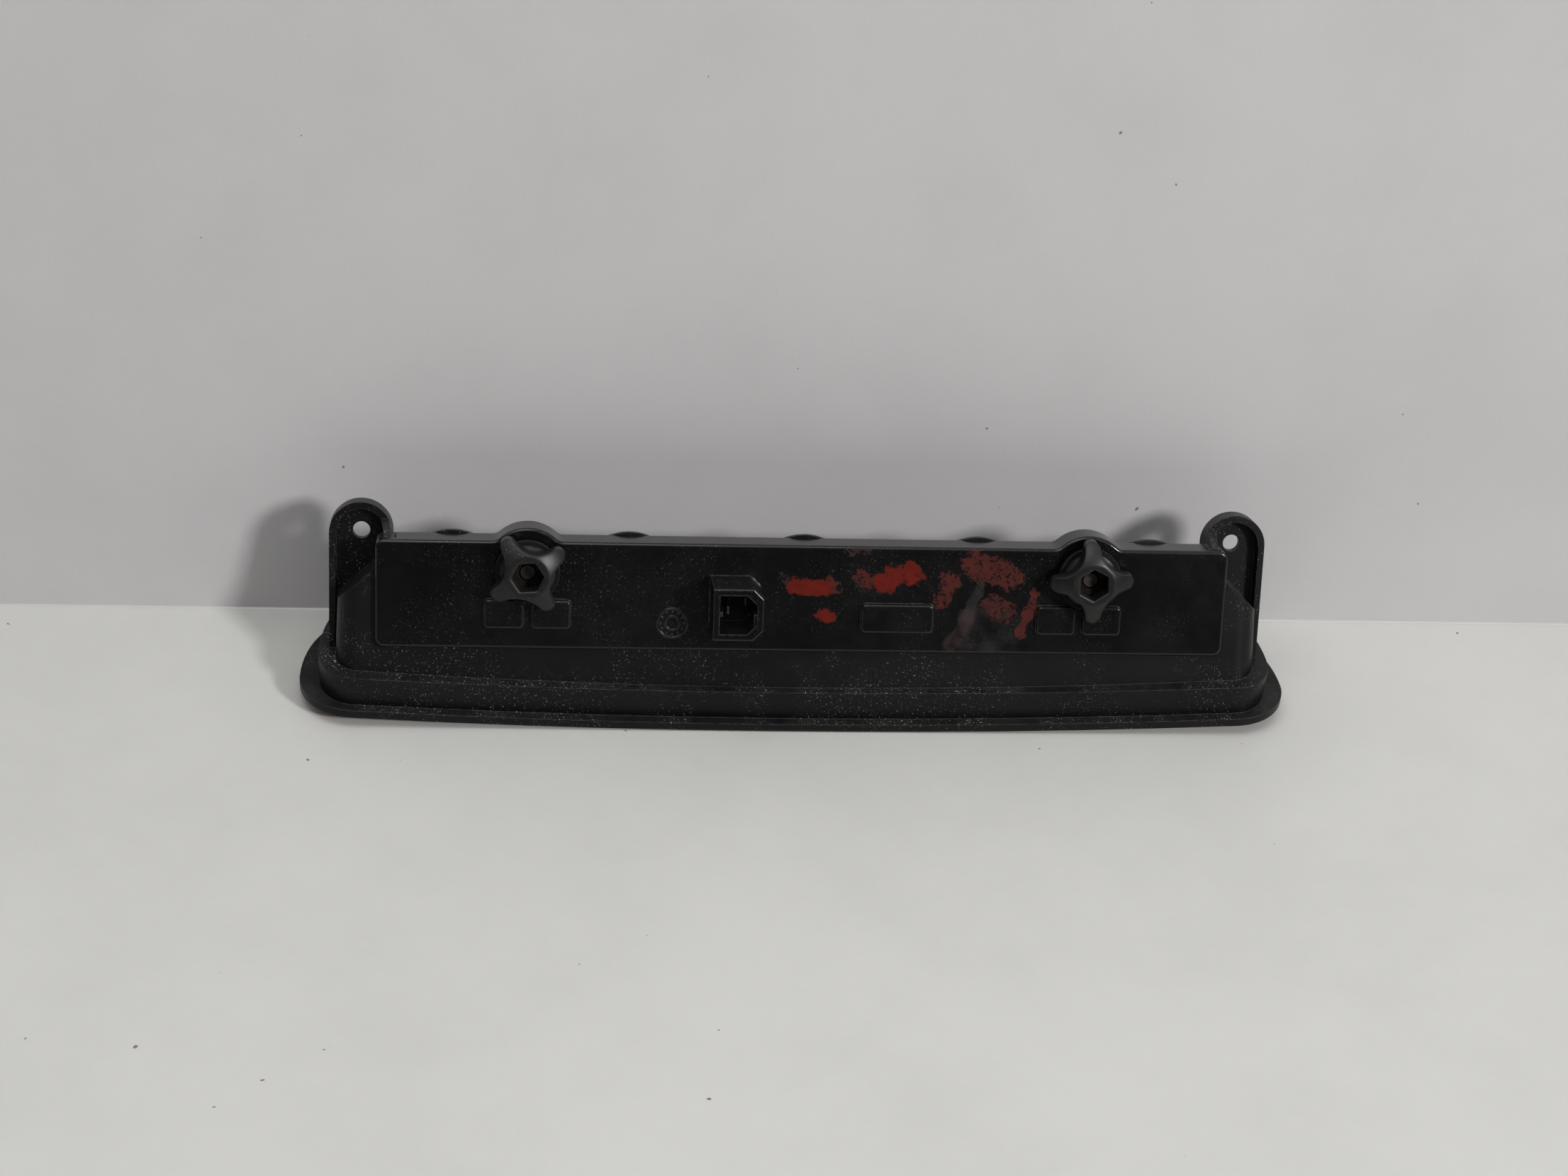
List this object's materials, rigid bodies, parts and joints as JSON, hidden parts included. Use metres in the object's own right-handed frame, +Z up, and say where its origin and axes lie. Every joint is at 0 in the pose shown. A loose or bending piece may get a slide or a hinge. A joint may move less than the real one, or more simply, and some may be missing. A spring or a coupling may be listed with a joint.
{
  "type": "third brake light",
  "caption": "Long black centre brake lamp lying on its red lens, with a leaning mounting face, star knobs on studs, a plug socket and a screw ear at each end.",
  "frame": {"origin": "lowest point of the lens, in the middle of the lamp's length; the footprint of the whole lamp is centred on it", "axes": "+Z up, away from the lens; +X along the lamp to the right as seen facing the knobs; -Y towards the side with the knobs and the socket"},
  "size_m": [0.3548, 0.0598, 0.0723],
  "materials": {
    "black_moulding": "fine-grained moulded black",
    "black_cover": "smooth moulded black",
    "foam_rubber": "matte",
    "red_lens": "clear red, ribbed inside",
    "metallised_plastic": "metallised",
    "contact_brass": "satin",
    "zinc_steel": "dull plated, slightly rusty",
    "knob_plastic": "satin",
    "clear_glass": "clear",
    "tungsten": "dark wire",
    "grey_plastic": "matte"
  },
  "bodies": {
    "lamp": {"housing": "black_moulding", "back_cover": "black_cover", "cover_seal": "foam_rubber", "lens": "red_lens", "lens_seal": "foam_rubber", "reflector": "metallised_plastic", "contact_strip_supply": "contact_brass", "contact_strip_ground": "contact_brass", "terminal_supply": "contact_brass", "terminal_ground": "contact_brass", "stud_left": "zinc_steel", "stud_right": "zinc_steel", "bulb_1": "clear_glass", "filament_1": "tungsten", "bulb_holder_1": "grey_plastic", "bulb_2": "clear_glass", "filament_2": "tungsten", "bulb_holder_2": "grey_plastic", "bulb_3": "clear_glass", "filament_3": "tungsten", "bulb_holder_3": "grey_plastic", "bulb_4": "clear_glass", "filament_4": "tungsten", "bulb_holder_4": "grey_plastic", "bulb_5": "clear_glass", "filament_5": "tungsten", "bulb_holder_5": "grey_plastic"},
    "washer_left": {"washer_left": "knob_plastic"},
    "knob_left": {"knob_left": "knob_plastic", "knob_nut_left": "zinc_steel"},
    "washer_right": {"washer_right": "knob_plastic"},
    "knob_right": {"knob_right": "knob_plastic", "knob_nut_right": "zinc_steel"}
  },
  "joints": [
    {"name": "knob_left_travel", "type": "slide", "parent": "lamp", "child": "washer_left", "axis": [0, -0.9397, 0.342], "range_m": [-0.0001, 0.0026]},
    {"name": "knob_left_turn", "type": "hinge", "parent": "washer_left", "child": "knob_left", "pos_m": [-0.0976, -0.01005, 0.05745], "axis": [0, -0.9397, 0.342], "range_deg": [-36.5, 936.5]},
    {"name": "knob_right_travel", "type": "slide", "parent": "lamp", "child": "washer_right", "axis": [0, -0.9397, 0.342], "range_m": [-0.0001, 0.0026]},
    {"name": "knob_right_turn", "type": "hinge", "parent": "washer_right", "child": "knob_right", "pos_m": [0.1002, -0.01005, 0.05745], "axis": [0, -0.9397, 0.342], "range_deg": [-36.5, 936.5]}
  ],
  "couplings": [
    {"joint": "knob_left_turn", "follows": "knob_left_travel", "rad_per_m": 6283.2},
    {"joint": "knob_right_turn", "follows": "knob_right_travel", "rad_per_m": 6283.2}
  ]
}
